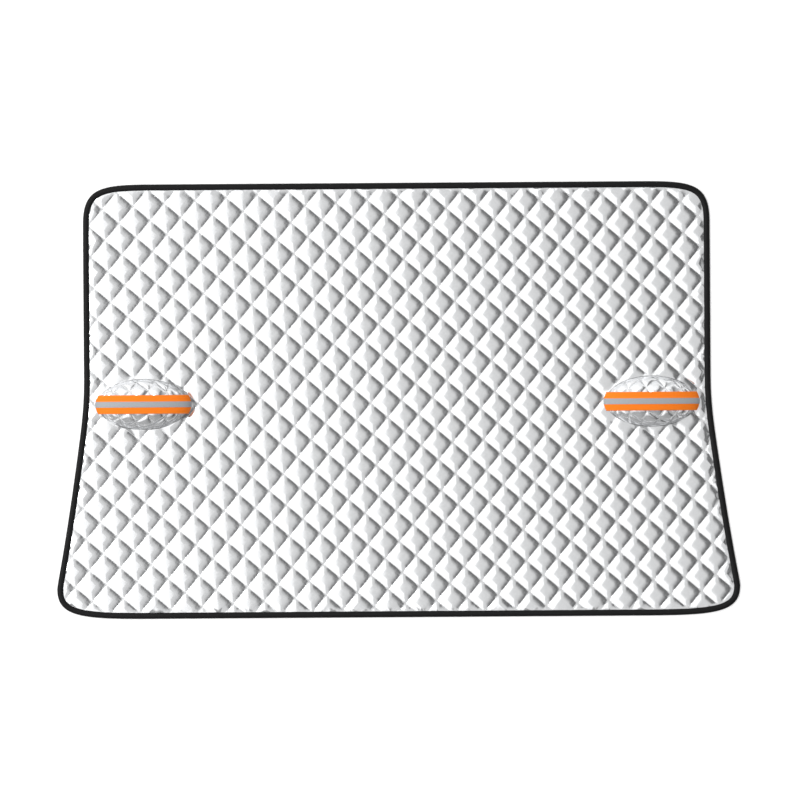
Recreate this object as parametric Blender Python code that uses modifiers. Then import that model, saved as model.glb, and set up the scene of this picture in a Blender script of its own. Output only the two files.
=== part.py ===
"""Windshield frost cover: a quilted sheet with a bound edge and a quilted pocket for each door mirror.

The cover lies flat with its lining on z = 0 and its silver film up. X runs across the windshield, +Y is
the roof edge and the origin is the middle of the underside. The outline is the same on both sides of
x = 0. Each pocket bulges up through an oval mouth in the sheet, with a black tape round the mouth
underneath and an orange band with a reflective stripe across the top.
"""

import math

import bmesh
import bpy
from mathutils import Matrix, Vector
from mathutils.geometry import interpolate_bezier

# Sizes are in metres.
FIT_GAP = 0.0003  # left between pieces that touch

# The outline, measured over the binding
ROOF_EDGE_WIDTH = 1.679
HOOD_EDGE_WIDTH = 1.830
COVER_LENGTH = 1.164
ROOF_CORNER_RUN = 0.188
ROOF_CORNER_DROP = 0.105
HOOD_CORNER_RUN = 0.265
HOOD_CORNER_RISE = 0.0794
CORNER_RUN_PULL = 0.715
CORNER_SIDE_PULL = 0.965
WAIST_DROP = 0.500
BEND_DROP = 0.682
BEND_OUT = 0.0124
BEND_START_PULL = 0.055
BEND_END_PULL = 0.090
FLARE_LEAN = 0.137
FLARE_PULL = 0.74
HOOD_CORNER_START = 0.017
CORNER_STEPS = 10
BEND_STEPS = 5
FLARE_STEPS = 7

# The quilting of the sheet: square pillows between stitched grooves
QUILT_PITCH = 0.05893
QUILT_ANGLE = math.radians(50.0)
QUILT_CROSSING = (0.0090, 0.0002)
GROOVE_HEIGHT = 0.0036
PILLOW_HEIGHT = 0.0085
PILLOW_SLOPE = 0.0135

# The rim of the sheet, pressed thin inside the binding
RIM_THICKNESS = 0.0017
RIM_TAPER = 0.010

# The binding: one black tape folded over the rim
BINDING_WIDTH = 0.0164
BINDING_HEIGHT = 0.0075
BINDING_TAPE = 0.0012
BINDING_NOSE = 0.0025
BINDING_CROWN = 0.0080
BINDING_INNER_EDGE = 0.0049
BINDING_FOLD = 0.0030
NOSE_STEPS = 3
CROWN_STEPS = 5

# The mirror pockets
CAP_LENGTH = 0.2572
CAP_WIDTH = 0.1500
CAP_HEIGHT = 0.062
CAP_WALL = 0.0040
CAP_PILLOW = 0.0050
CAP_EDGE_MARGIN = 0.0140
CAP_DROP = 0.5895
CAP_FADE = 0.0060
PATCH_LENGTH = 0.2760
PATCH_WIDTH = 0.1340
PATCH_PITCH = 0.0324
PATCH_CROSSING = (-0.0175, 0.0271)
PATCH_BOW = 4.8
PATCH_NARROWING = 3.1
PATCH_STEPS = 4

# The orange band over each pocket and the stripe along its middle
BAND_WIDTH = 0.0497
BAND_THICKNESS = 0.0008
BAND_CLEARANCE = 0.0012
STRIPE_WIDTH = 0.0155
STRIPE_THICKNESS = 0.0004
BAND_LENGTH_STEPS = 28

# The tape round each pocket's mouth, on the underside
MOUTH_TAPE_WIDTH = 0.0140
MOUTH_TAPE_THICKNESS = 0.0012
MOUTH_STEPS = 64

SHARPEST_FOLD = math.radians(32)
CUTTER_MARGIN = 0.02

SIDES = {"left": -1, "right": 1}
BACK_OF_RIM = BINDING_TAPE + FIT_GAP
TOP_OF_RIM = BACK_OF_RIM + RIM_THICKNESS
CAP_CENTRE_X = ROOF_EDGE_WIDTH / 2 - BINDING_WIDTH - CAP_EDGE_MARGIN - CAP_LENGTH / 2
CAP_CENTRE_Y = COVER_LENGTH / 2 - CAP_DROP
CAP_SEAM = PILLOW_HEIGHT
CAP_BACK = MOUTH_TAPE_THICKNESS + FIT_GAP
# What the band and stripe add stays inside the pocket's outline
CAP_INSET = CAP_PILLOW + BAND_CLEARANCE + BAND_THICKNESS
CAP_HALF = (CAP_LENGTH / 2 - CAP_INSET, CAP_WIDTH / 2 - CAP_INSET, CAP_HEIGHT - CAP_SEAM - CAP_INSET)


def clear_scene():
    for obj in list(bpy.data.objects):
        bpy.data.objects.remove(obj, do_unlink=True)


def new_collection(name):
    collection = bpy.data.collections.new(name)
    bpy.context.scene.collection.children.link(collection)
    return collection


def material(name, colour, roughness, metallic=0.0):
    made = bpy.data.materials.new(name)
    made.use_nodes = True
    shader = made.node_tree.nodes["Principled BSDF"]
    shader.inputs["Base Color"].default_value = (*colour, 1.0)
    shader.inputs["Roughness"].default_value = roughness
    shader.inputs["Metallic"].default_value = metallic
    return made


def mesh_object(name, bm, finish=None):
    """Object made from a bmesh: a part if it has a finish, else a cutter that isn't rendered."""
    mesh = bpy.data.meshes.new(name)
    bm.to_mesh(mesh)
    bm.free()
    obj = bpy.data.objects.new(name, mesh)
    if finish:
        mesh.materials.append(finish)
        mesh.shade_smooth()
        mesh.set_sharp_from_angle(angle=SHARPEST_FOLD)
        parts.objects.link(obj)
    else:
        obj.hide_render = True
        obj.display_type = "WIRE"
        cutters.objects.link(obj)
    return obj


def face_out(bm):
    """Turns a closed surface's faces outwards."""
    bmesh.ops.recalc_face_normals(bm, faces=bm.faces)
    if bm.calc_volume(signed=True) < 0:
        bmesh.ops.reverse_faces(bm, faces=bm.faces)


def joined_rings(bm, loops, closed):
    """A row of faces between each loop of points and the next, and back to the first if closed."""
    rings = [[bm.verts.new(point) for point in loop] for loop in loops]
    for i in range(0 if closed else 1, len(rings)):
        lower = rings[i - 1]
        upper = rings[i]
        for j in range(len(lower)):
            bm.faces.new((lower[j - 1], lower[j], upper[j], upper[j - 1]))
    return rings


def ring_solid(name, loops, finish):
    """A closed band of material whose section is given by the loops, in order round it."""
    bm = bmesh.new()
    joined_rings(bm, loops, closed=True)
    face_out(bm)
    return mesh_object(name, bm, finish)


def capped_solid(name, loops):
    """A closed solid through stacked loops of equal length, capped at its first and last loop."""
    bm = bmesh.new()
    rings = joined_rings(bm, loops, closed=False)
    bm.faces.new(reversed(rings[0]))
    bm.faces.new(rings[-1])
    face_out(bm)
    return mesh_object(name, bm)


def cut(obj, tool, operation="DIFFERENCE"):
    boolean = obj.modifiers.new(tool.name, "BOOLEAN")
    boolean.operation = operation
    boolean.solver = "EXACT"
    boolean.object = tool


def bezier(start, start_pull, end_pull, end, steps):
    """Points of a cubic curve from start up to, but not including, end."""
    return interpolate_bezier(start, start + start_pull, end + end_pull, end, steps + 1)[:-1]


def half_outline():
    """The right-hand side of the outline, from the roof edge down to the hood edge."""
    roof = COVER_LENGTH / 2
    upper = ROOF_EDGE_WIDTH / 2
    lower = HOOD_EDGE_WIDTH / 2
    corner = Vector((upper - ROOF_CORNER_RUN, roof))
    side = Vector((upper, roof - ROOF_CORNER_DROP))
    waist = Vector((upper, roof - WAIST_DROP))
    bend = Vector((upper + BEND_OUT, roof - BEND_DROP))
    widest = Vector((lower, HOOD_CORNER_RISE - roof))
    hood = Vector((lower - HOOD_CORNER_RUN, -roof))
    down_flare = Vector((FLARE_LEAN, -1.0)).normalized()
    flare_pull = FLARE_PULL * (bend.y - widest.y)

    points = bezier(
        corner,
        Vector((CORNER_RUN_PULL * ROOF_CORNER_RUN, 0)),
        Vector((0, CORNER_SIDE_PULL * ROOF_CORNER_DROP)),
        side,
        CORNER_STEPS,
    )
    points.append(side)
    points += bezier(
        waist,
        Vector((0, -BEND_START_PULL)),
        -BEND_END_PULL * down_flare,
        bend,
        BEND_STEPS,
    )
    points += bezier(bend, flare_pull * down_flare, Vector((0, HOOD_CORNER_START)), widest, FLARE_STEPS)
    points += bezier(
        widest,
        Vector((0, -CORNER_SIDE_PULL * HOOD_CORNER_RISE)),
        Vector((CORNER_RUN_PULL * HOOD_CORNER_RUN, 0)),
        hood,
        CORNER_STEPS,
    )
    points.append(hood)
    return points


def outline():
    """The closed outline, clockwise from the roof edge's right-hand corner."""
    right = half_outline()
    left = [Vector((-p.x, p.y)) for p in reversed(right)]
    return right + left


def inset_outline(distance, height):
    """The outline moved in by a distance square to itself, at a height."""
    points = outline()
    count = len(points)
    moved = []
    for i, point in enumerate(points):
        before = (point - points[i - 1]).normalized()
        after = (points[(i + 1) % count] - point).normalized()
        along = (before + after).normalized()
        inward = Vector((along.y, -along.x))
        moved.append((*(point + distance * inward), height))
    return moved


def oval_cutter(name, centre, half_x, half_y, bottom, top):
    """An upright cylinder with an oval section."""
    bm = bmesh.new()
    bmesh.ops.create_cone(
        bm,
        cap_ends=True,
        segments=MOUTH_STEPS,
        radius1=1,
        radius2=1,
        depth=top - bottom,
        matrix=Matrix.Translation((*centre, (top + bottom) / 2)) @ Matrix.Diagonal((half_x, half_y, 1, 1)),
    )
    return mesh_object(name, bm)


def sheet_blank():
    """The sheet's trimmed form: a thin rim with its underside raised for the tape, then full height."""
    inner = BINDING_WIDTH + FIT_GAP
    rim = BINDING_FOLD + FIT_GAP
    loops = [
        inset_outline(inner, 0),
        inset_outline(inner, BACK_OF_RIM),
        inset_outline(rim, BACK_OF_RIM),
        inset_outline(rim, TOP_OF_RIM),
        inset_outline(inner, TOP_OF_RIM),
        inset_outline(inner + RIM_TAPER, PILLOW_HEIGHT + FIT_GAP),
    ]
    return capped_solid("sheet_blank", loops)


def quilted_panel():
    """A square grid of stitched pillows, turned to the quilting's angle and trimmed to the blank."""
    reach = math.hypot(HOOD_EDGE_WIDTH, COVER_LENGTH)
    cells = 2 * math.ceil(reach / QUILT_PITCH / 2)
    bm = bmesh.new()
    place = Matrix.Translation((*QUILT_CROSSING, GROOVE_HEIGHT)) @ Matrix.Rotation(QUILT_ANGLE, 4, "Z")
    bmesh.ops.create_grid(
        bm, x_segments=cells, y_segments=cells, size=cells * QUILT_PITCH / 2, matrix=place
    )
    bmesh.ops.inset_individual(
        bm,
        faces=bm.faces[:],
        thickness=PILLOW_SLOPE,
        depth=PILLOW_HEIGHT - GROOVE_HEIGHT,
        use_even_offset=True,
    )
    border = [edge for edge in bm.edges if edge.is_boundary]
    walls = bmesh.ops.extrude_edge_only(bm, edges=border)["geom"]
    lowered = [item for item in walls if isinstance(item, bmesh.types.BMVert)]
    bmesh.ops.translate(bm, verts=lowered, vec=(0, 0, -GROOVE_HEIGHT - CUTTER_MARGIN))
    bmesh.ops.holes_fill(bm, edges=[edge for edge in bm.edges if edge.is_boundary], sides=0)
    face_out(bm)
    panel = mesh_object("quilted_panel", bm, silver_film)
    cut(panel, sheet_blank(), "INTERSECT")
    for side, sign in SIDES.items():
        centre = (sign * CAP_CENTRE_X, CAP_CENTRE_Y)
        half_x, half_y = (half + FIT_GAP for half in CAP_HALF[:2])
        mouth = oval_cutter(
            side + "_mouth", centre, half_x, half_y, -CUTTER_MARGIN, PILLOW_HEIGHT + CUTTER_MARGIN
        )
        flange = MOUTH_TAPE_WIDTH - CAP_WALL
        recess = oval_cutter(
            side + "_tape_recess", centre, half_x + flange, half_y + flange, -CUTTER_MARGIN, CAP_BACK
        )
        cut(panel, recess)
        cut(panel, mouth)
    return panel


def quarter_arc(centre, radii, start, steps):
    """Points of a quarter of an ellipse, turning clockwise from a start angle in degrees."""
    points = []
    for i in range(steps + 1):
        angle = math.radians(start - 90 * i / steps)
        points.append((centre[0] + radii[0] * math.cos(angle), centre[1] + radii[1] * math.sin(angle)))
    return points


def binding_section():
    """The folded tape's section, as distance in from the outline and height above the underside."""
    nose = quarter_arc((BINDING_NOSE, BINDING_NOSE), (BINDING_NOSE, BINDING_NOSE), 270, NOSE_STEPS)
    crown_rise = BINDING_HEIGHT - BINDING_NOSE
    crown = quarter_arc((BINDING_CROWN, BINDING_NOSE), (BINDING_CROWN, crown_rise), 180, CROWN_STEPS)
    shoulder = (BINDING_CROWN + BINDING_WIDTH) / 2
    shoulder_height = 0.75 * BINDING_HEIGHT + 0.25 * BINDING_INNER_EDGE
    slot_top = TOP_OF_RIM + FIT_GAP
    return (
        [(BINDING_WIDTH, 0)]
        + nose
        + crown[1:]
        + [
            (shoulder, shoulder_height),
            (BINDING_WIDTH, BINDING_INNER_EDGE),
            (BINDING_WIDTH, slot_top),
            (BINDING_FOLD, slot_top),
            (BINDING_FOLD, BINDING_TAPE),
            (BINDING_WIDTH, BINDING_TAPE),
        ]
    )


def edge_binding():
    """The tape's section carried round the outline."""
    loops = [inset_outline(distance, height) for distance, height in binding_section()]
    return ring_solid("edge_binding", loops, black_tape)


def on_pocket(along, across):
    """The point of the pocket's form under the patch's point (along, across).

    The patch's half sizes reach the seam. Past them the pocket runs straight down through the sheet.
    """
    half_x, half_y, half_z = CAP_HALF
    u = along / (PATCH_LENGTH / 2)
    v = across / (PATCH_WIDTH / 2)
    reach = max(math.hypot(u, v), 1e-9)
    turn = min(reach, 1) * math.pi / 2
    x = half_x * math.sin(turn) * u / reach
    y = half_y * math.sin(turn) * v / reach
    below = max(reach - 1, 0) * PATCH_WIDTH / 2
    return Vector((x, y, CAP_SEAM + half_z * math.cos(turn) - below))


def cut_level(bm, height, clear_below=False):
    """Adds edges where the mesh passes a height, and can remove what lies below it."""
    geometry = bm.verts[:] + bm.edges[:] + bm.faces[:]
    bmesh.ops.bisect_plane(
        bm, geom=geometry, plane_co=(0, 0, height), plane_no=(0, 0, 1), clear_inner=clear_below
    )


def mirror_cap(side, sign):
    """A quilted patch stretched over the pocket's form, with its stitch lines bowed to the outer end."""
    patch_reach = 1 + 2 * (CAP_SEAM + CUTTER_MARGIN) / PATCH_WIDTH
    furthest = patch_reach * PATCH_LENGTH / 2 + math.hypot(*PATCH_CROSSING)
    cells = 2 * math.ceil(furthest / PATCH_PITCH)
    size = cells * PATCH_PITCH / 2
    turned = Matrix.Rotation(QUILT_ANGLE, 2)
    bm = bmesh.new()
    puff = bm.verts.layers.float.new("puff")
    bmesh.ops.create_grid(
        bm, x_segments=cells * PATCH_STEPS, y_segments=cells * PATCH_STEPS, size=size
    )
    outside = []
    for vert in bm.verts:
        share = [math.sin(math.pi * (value + size) / PATCH_PITCH) for value in vert.co.xy]
        vert[puff] = CAP_PILLOW * math.sqrt(abs(share[0] * share[1]))
        flat = turned @ vert.co.xy + Vector(PATCH_CROSSING)
        along = flat.x + PATCH_BOW * flat.y**2
        across = flat.y * (1 - PATCH_NARROWING * flat.x)
        if math.hypot(2 * along / PATCH_LENGTH, 2 * across / PATCH_WIDTH) > patch_reach:
            outside.append(vert)
        vert.co = on_pocket(along, across)
    bmesh.ops.delete(bm, geom=outside, context="VERTS")
    cut_level(bm, CAP_SEAM + CAP_FADE)
    cut_level(bm, CAP_SEAM)
    cut_level(bm, CAP_BACK, clear_below=True)
    half_x, half_y, half_z = CAP_HALF
    for vert in bm.verts:
        x, y, z = vert.co
        rise = max(z - CAP_SEAM, 0)
        outward = Vector((x / half_x**2, y / half_y**2, rise / half_z**2)).normalized()
        x, y, z = vert.co + min(rise / CAP_FADE, 1) * vert[puff] * outward
        vert.co = (sign * (x + CAP_CENTRE_X), y + CAP_CENTRE_Y, z)
    if sign < 0:
        bmesh.ops.reverse_faces(bm, faces=bm.faces)
    cap = mesh_object(side + "_mirror_cap", bm, silver_film)
    wall = cap.modifiers.new("wall", "SOLIDIFY")
    wall.thickness = CAP_WALL
    wall.offset = -1
    return cap


def over_pocket(name, sign, rows, lift, thickness, finish):
    """A strip of tape over the pocket, between the first and last of its rows across the width."""
    half_x, half_y, half_z = (half + CAP_PILLOW + lift for half in CAP_HALF)
    bm = bmesh.new()
    bmesh.ops.create_grid(bm, x_segments=BAND_LENGTH_STEPS, y_segments=len(rows) - 1, size=1)
    for vert in bm.verts:
        across = rows[round((vert.co.y + 1) / 2 * (len(rows) - 1))]
        share = math.sqrt(1 - (across / half_y) ** 2)
        end = math.acos(2 * FIT_GAP / (half_z * share))
        turn = vert.co.x * end
        x = half_x * share * math.sin(turn)
        z = half_z * share * math.cos(turn)
        vert.co = (x + sign * CAP_CENTRE_X, across + CAP_CENTRE_Y, CAP_SEAM + z)
    strip = mesh_object(name, bm, finish)
    solid = strip.modifiers.new("tape", "SOLIDIFY")
    solid.thickness = thickness
    solid.offset = 1
    return strip


def mirrored_rows(*half_widths):
    return [-half for half in half_widths] + [0] + [half for half in reversed(half_widths)]


def orange_band(side, sign):
    rows = mirrored_rows(BAND_WIDTH / 2, STRIPE_WIDTH / 2)
    return over_pocket(side + "_orange_band", sign, rows, BAND_CLEARANCE, BAND_THICKNESS, orange_tape)


def reflective_stripe(side, sign):
    rows = mirrored_rows(STRIPE_WIDTH / 2)
    lift = BAND_CLEARANCE + BAND_THICKNESS + FIT_GAP
    return over_pocket(side + "_reflective_stripe", sign, rows, lift, STRIPE_THICKNESS, grey_reflective)


def mouth_tape(side, sign):
    """A flat oval ring of tape that covers the seam between pocket and sheet on the underside."""
    loops = []
    for distance, height in (
        (-CAP_WALL, 0),
        (MOUTH_TAPE_WIDTH - CAP_WALL, 0),
        (MOUTH_TAPE_WIDTH - CAP_WALL, MOUTH_TAPE_THICKNESS),
        (-CAP_WALL, MOUTH_TAPE_THICKNESS),
    ):
        loop = []
        for i in range(MOUTH_STEPS):
            angle = 2 * math.pi * i / MOUTH_STEPS
            x = sign * CAP_CENTRE_X + (CAP_HALF[0] + distance) * math.cos(angle)
            y = CAP_CENTRE_Y + (CAP_HALF[1] + distance) * math.sin(angle)
            loop.append((x, y, height))
        loops.append(loop)
    return ring_solid(side + "_mouth_tape", loops, black_tape)


clear_scene()
parts = new_collection("windshield_frost_cover")
cutters = new_collection("cutters")
silver_film = material("silver film", (0.78, 0.79, 0.80), 0.35, 0.6)
black_tape = material("black woven tape", (0.012, 0.012, 0.013), 0.6)
orange_tape = material("fluorescent orange tape", (1.0, 0.19, 0.012), 0.55)
grey_reflective = material("grey reflective tape", (0.27, 0.28, 0.29), 0.4)

quilted_panel()
edge_binding()
for side, sign in SIDES.items():
    mirror_cap(side, sign)
    orange_band(side, sign)
    reflective_stripe(side, sign)
    mouth_tape(side, sign)
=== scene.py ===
"""Windshield frost cover: a quilted silver sheet with a bound edge and a padded pocket for each door mirror.

Sizes are in metres. The cover lies film side up, with X across the windshield and +Y towards the roof edge.
"""

import math

import bpy
import numpy as np
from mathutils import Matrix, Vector


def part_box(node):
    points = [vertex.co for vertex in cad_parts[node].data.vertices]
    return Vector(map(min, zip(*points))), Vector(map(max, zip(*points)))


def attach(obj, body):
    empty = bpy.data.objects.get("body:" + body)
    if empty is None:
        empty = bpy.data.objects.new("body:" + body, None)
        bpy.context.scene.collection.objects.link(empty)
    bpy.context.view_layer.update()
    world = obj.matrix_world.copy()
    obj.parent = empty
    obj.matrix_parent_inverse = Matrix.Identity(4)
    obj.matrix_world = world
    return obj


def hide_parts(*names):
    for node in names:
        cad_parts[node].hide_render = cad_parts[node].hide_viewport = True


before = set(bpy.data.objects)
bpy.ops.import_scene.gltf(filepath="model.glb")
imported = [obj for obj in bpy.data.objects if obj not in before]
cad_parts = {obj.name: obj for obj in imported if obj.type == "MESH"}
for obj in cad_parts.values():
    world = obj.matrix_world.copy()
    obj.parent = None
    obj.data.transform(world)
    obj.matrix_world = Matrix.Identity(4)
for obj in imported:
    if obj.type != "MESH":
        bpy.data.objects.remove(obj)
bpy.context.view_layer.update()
SIDES = {"left": -1, "right": 1}


# The cut sheet. One quilted panel is cut to the outline that its binding follows, with an oval mouth
# under each mirror pocket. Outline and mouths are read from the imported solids, so every piece that is
# sewn to an edge below follows the same line.
NOSE_HEIGHT = 0.0025
OUTLINE_SPACING = 0.008
POCKET_WALL = 0.0040
MOUTH_TAPE_WIDTH = 0.0140
SAME_HEIGHT = 1e-5
PLACES_AT_ONCE = 2000


def outline_points():
    """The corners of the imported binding's outer edge, in order round the sheet.

    They are its points at the height of the nose, sorted by their angle round the middle.
    """
    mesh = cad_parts["edge_binding"].data
    points = np.empty(3 * len(mesh.vertices))
    mesh.vertices.foreach_get("co", points)
    points = points.reshape(-1, 3)
    edge = points[np.abs(points[:, 2] - NOSE_HEIGHT) < SAME_HEIGHT, :2]
    edge = np.unique(edge.round(6), axis=0)
    return edge[np.argsort(np.arctan2(edge[:, 1], edge[:, 0]))]


def smooth_loop(points, spacing):
    """A closed curve through the points, sampled about every spacing.

    Each span is a cubic Hermite curve. Its end directions are those of the chords between the
    neighbours, so that a long straight span beside a short curved one stays straight.
    """
    after = np.roll(points, -1, axis=0)
    chord = after - np.roll(points, 1, axis=0)
    way = chord / np.linalg.norm(chord, axis=1, keepdims=True)
    length = np.linalg.norm(after - points, axis=1)
    steps = np.ceil(length / spacing).astype(int)
    span = np.repeat(np.arange(len(points)), steps)
    first = np.repeat(np.cumsum(steps) - steps, steps)
    t = ((np.arange(steps.sum()) - first) / steps[span])[:, None]
    pull = length[span][:, None]
    start_way = way[span]
    end_way = np.roll(way, -1, axis=0)[span]
    return (
        (2 * t**3 - 3 * t**2 + 1) * points[span]
        + (t**3 - 2 * t**2 + t) * pull * start_way
        + (3 * t**2 - 2 * t**3) * after[span]
        + (t**3 - t**2) * pull * end_way
    )


def inward_normals(loop):
    """The unit vector square to an anticlockwise loop at each point, towards its inside."""
    chord = np.roll(loop, -1, axis=0) - np.roll(loop, 1, axis=0)
    along = chord / np.linalg.norm(chord, axis=1, keepdims=True)
    return np.stack([-along[:, 1], along[:, 0]], axis=1)


def distance_inside(points, loop):
    """How far each point lies inside an anticlockwise loop, negative outside, and the unit way inwards.

    A point is projected on each edge of the loop and held between the edge's ends. The shortest of
    these gives the distance, and the side of that edge gives the sign. The points are taken in blocks, to
    save memory.
    """
    edge = np.roll(loop, -1, axis=0) - loop
    edge_square = (edge**2).sum(axis=1)
    far = []
    way = []
    for block in np.array_split(points, max(1, len(points) // PLACES_AT_ONCE)):
        offset = block[:, None, :] - loop[None, :, :]
        share = np.clip((offset * edge).sum(axis=2) / edge_square, 0, 1)
        gap = offset - share[:, :, None] * edge
        nearest = (gap**2).sum(axis=2).argmin(axis=1)
        row = np.arange(len(block))
        best = gap[row, nearest]
        side = edge[nearest]
        sign = np.sign(side[:, 0] * best[:, 1] - side[:, 1] * best[:, 0])
        size = np.linalg.norm(best, axis=1)
        far.append(sign * size)
        way.append(sign[:, None] * best / np.maximum(size, 1e-9)[:, None])
    return np.concatenate(far), np.concatenate(way)


def mouth_of(side):
    """Centre and half sizes of the oval in which a pocket meets the sheet, from the tape round it."""
    low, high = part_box(side + "_mouth_tape")
    middle = np.array((low + high) / 2)[:2]
    half = np.array((high - low) / 2)[:2] - (MOUTH_TAPE_WIDTH - POCKET_WALL)
    return middle, half


OUTLINE = smooth_loop(outline_points(), OUTLINE_SPACING)
MOUTHS = {side: mouth_of(side) for side in SIDES}


# The quilted top. Silver film over wadding, stitched down along two families of straight lines that cross
# at right angles, so that it stands up in square pillows with steep sides and nearly flat tops. Its edge
# is pressed thin to go into the binding, and it is cut out round each pocket.
QUILT_PITCH = 0.05905
QUILT_ANGLE = math.radians(50.0)
QUILT_TURN = np.array(
    [[math.cos(QUILT_ANGLE), math.sin(QUILT_ANGLE)], [-math.sin(QUILT_ANGLE), math.cos(QUILT_ANGLE)]]
)
QUILT_CROSSING = np.array([0.0123, -0.0006])
CELL_STEPS = np.array([0.0, 0.05, 0.16, 0.28, 0.34, 0.66, 0.72, 0.84, 0.95])
GROOVE_HEIGHT = 0.0034
PILLOW_HEIGHT = 0.0092
PILLOW_SLOPE = 0.33
PILLOW_BEND = 1.6
PILLOW_CORNER = 0.05
SHARP_FOLD = math.radians(40.0)
RIM_TOP = 0.0043
RIM_INSET = 0.0034
RIM_BEND = 0.0167
CUT_SNAP = 0.0022
BINDING_WIDTH = 0.0164
EDGE_RUN = 0.0050
TAPER_RUN = 0.0090
LINING_LIFT = 0.0015
LINING_THICKNESS = 0.0006
SEAM_CLEARANCE = 0.0005
MOUTH_CLEARANCE = 0.0003
MOUTH_RUN = 0.0080
POCKET_SEAM = 0.0085


def smooth_step(share):
    """0 up to share 0, 1 from share 1 on, and between them three times its square less twice its cube."""
    share = np.clip(share, 0, 1)
    return share**2 * (3 - 2 * share)


def pillow_share(cells, slope):
    """Height of the pillows, 0 in the stitched grooves and 1 on the tops, at places counted in cells.

    The rise is one less a power of what is left of the slope: one less the distance from the nearer
    groove over the slope, raised to the bend. That distance is half of the sum of the distances from both
    families' grooves, less half of the root of their difference squared plus the rounding squared. It is
    the smaller of the two, with the mitre between a pillow's sides rounded, but not in the grooves.
    """
    apart = np.abs(cells - np.round(cells))
    gap = apart[..., 0] - apart[..., 1]
    rounding = np.minimum(apart.min(axis=-1), PILLOW_CORNER)
    nearest = (apart.sum(axis=-1) - np.sqrt(gap**2 + rounding**2)) / 2
    return 1 - (1 - np.clip(nearest / slope, 0, 1)) ** PILLOW_BEND


def quilt_grid(cell_steps):
    """Places in metres of a square grid over the sheet, lined up with the quilting."""
    count = math.ceil(np.abs(OUTLINE).max() * math.sqrt(2) / QUILT_PITCH)
    line = (np.arange(-count, count)[:, None] + cell_steps).ravel()
    cells = np.stack(np.meshgrid(line, line, indexing="ij"), axis=-1)
    return cells * QUILT_PITCH @ QUILT_TURN + QUILT_CROSSING


def quilt_cells(places):
    """The places counted in cells of the quilting."""
    return (places - QUILT_CROSSING) @ QUILT_TURN.T / QUILT_PITCH


def grid_faces(shape):
    """The four corner numbers of each face of a grid of points in rows and columns."""
    number = np.arange(shape[0] * shape[1]).reshape(shape)
    corners = np.stack([number[:-1, :-1], number[1:, :-1], number[1:, 1:], number[:-1, 1:]], axis=-1)
    return corners.reshape(-1, 4)


def trimmed(places, inset):
    """A grid cut at an inset from the outline and round the mouths.

    Gives its places, its faces, and each place's distance from the outline and way inwards. Faces with
    all four corners past a cut are dropped. Corners past it, or nearer to it than the snap, are moved
    square onto it, so that each edge runs smoothly along its cut.
    """
    flat = places.reshape(-1, 2).copy()
    faces = grid_faces(places.shape[:2])
    reach = np.abs(OUTLINE).max(axis=0) + QUILT_PITCH
    faces = faces[(np.abs(flat[faces[:, 0]]) < reach).all(axis=1)]
    used = np.unique(faces)
    distance = np.full(len(flat), -1.0)
    way = np.zeros_like(flat)
    distance[used], way[used] = distance_inside(flat[used], OUTLINE)
    past = distance < inset + CUT_SNAP
    faces = faces[~past[faces].all(axis=1)]
    flat[past] += (inset - distance[past])[:, None] * way[past]
    distance[past] = inset
    for middle, half in MOUTHS.values():
        grown = half + MOUTH_CLEARANCE
        oval = np.linalg.norm((flat - middle) / grown, axis=1)
        inside = oval < 1 + CUT_SNAP / grown.min()
        faces = faces[~inside[faces].all(axis=1)]
        flat[inside] = middle + (flat[inside] - middle) / np.maximum(oval[inside], 1e-6)[:, None]
    kept, renumbered = np.unique(faces, return_inverse=True)
    return flat[kept], renumbered.reshape(-1, 4), distance[kept], way[kept]


def with_rim(flat, faces, distance, way):
    """The trimmed grid with one more row of faces, from the line at which it was cut out to the rim."""
    start, end = boundary_edges(faces).T
    outer = (distance[start] == RIM_BEND) & (distance[end] == RIM_BEND)
    start, end = start[outer], end[outer]
    edge = np.unique([start, end])
    number = np.zeros(len(flat), dtype=int)
    number[edge] = len(flat) + np.arange(len(edge))
    rim = flat[edge] - (RIM_BEND - RIM_INSET) * way[edge]
    strip = np.column_stack([end, start, number[start], number[end]])
    flat = np.concatenate([flat, rim])
    distance = np.concatenate([distance, np.full(len(rim), RIM_INSET)])
    return flat, np.concatenate([faces, strip]), distance


def past_mouths(places):
    """Distance of each place from the nearer mouth's edge, taken along the line to its middle."""
    distances = []
    for middle, half in MOUTHS.values():
        offset = places - middle
        oval = np.linalg.norm(offset / half, axis=1)
        distances.append(np.linalg.norm(offset, axis=1) * (1 - 1 / np.maximum(oval, 1e-6)))
    return np.minimum(*distances)


def boundary_edges(faces):
    """The directed edges that only one face has."""
    edges = np.concatenate([faces[:, [i, (i + 1) % 4]] for i in range(4)])
    key = np.sort(edges, axis=1)
    _, first, count = np.unique(key, axis=0, return_index=True, return_counts=True)
    return edges[first[count == 1]]


def closed_sheet(places, faces, top, bottom):
    """Points and faces of a sheet between two heights, with a wall along its edges."""
    count = len(places)
    points = np.concatenate([np.column_stack([places, top]), np.column_stack([places, bottom])])
    start, end = boundary_edges(faces).T
    wall = np.column_stack([end, start, start + count, end + count])
    return points, np.concatenate([faces, faces[:, ::-1] + count, wall])


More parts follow.
